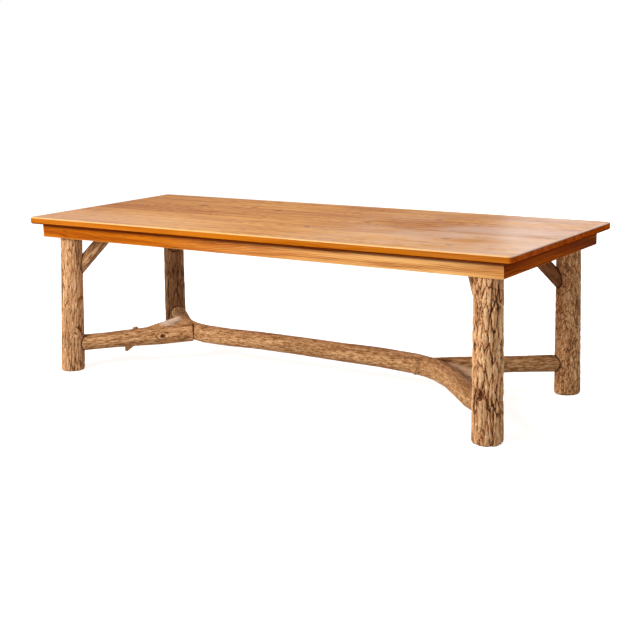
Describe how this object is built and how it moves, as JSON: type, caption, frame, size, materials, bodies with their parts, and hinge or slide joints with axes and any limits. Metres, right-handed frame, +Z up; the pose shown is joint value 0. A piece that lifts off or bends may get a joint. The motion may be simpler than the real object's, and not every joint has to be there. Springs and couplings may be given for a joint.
{
  "type": "farmhouse dining table",
  "caption": "Rustic dining table with a stained plank top on mitred rails, bark-on log legs, diagonal knee braces and a low stretcher made from a forked log.",
  "frame": {"origin": "on the floor under the middle of the top", "axes": "+X along the length, +Y from the front long side to the back one, +Z up"},
  "size_m": [2.54, 1.016, 0.762],
  "materials": {
    "stained_plank": "honey-brown stain under satin varnish",
    "bark_log": "bark left on, clear matt sealer",
    "plain_wood": "bare sawn wood",
    "nail_steel": "dark cut steel"
  },
  "bodies": {
    "root": {"brace_back_left": "bark_log", "brace_back_right": "bark_log", "brace_front_left": "bark_log", "brace_front_right": "bark_log", "brace_nails": "nail_steel", "centre_cleat": "plain_wood", "cleat_nails": "nail_steel", "end_cleat_left": "plain_wood", "end_cleat_right": "plain_wood", "glue_blocks": "plain_wood", "leg_back_left": "bark_log", "leg_back_right": "bark_log", "leg_front_left": "bark_log", "leg_front_right": "bark_log", "leg_wedges": "plain_wood", "mitre_keys": "plain_wood", "plank_splines": "plain_wood", "rail_back": "stained_plank", "rail_front": "stained_plank", "rail_left": "stained_plank", "rail_right": "stained_plank", "seam_dowel": "plain_wood", "stretcher_branch": "bark_log", "stretcher_trunk": "bark_log", "top_plank_1": "stained_plank", "top_plank_2": "stained_plank", "top_plank_3": "stained_plank", "top_plank_4": "stained_plank", "top_plank_5": "stained_plank", "top_plank_6": "stained_plank", "top_plank_7": "stained_plank"}
  },
  "joints": []
}
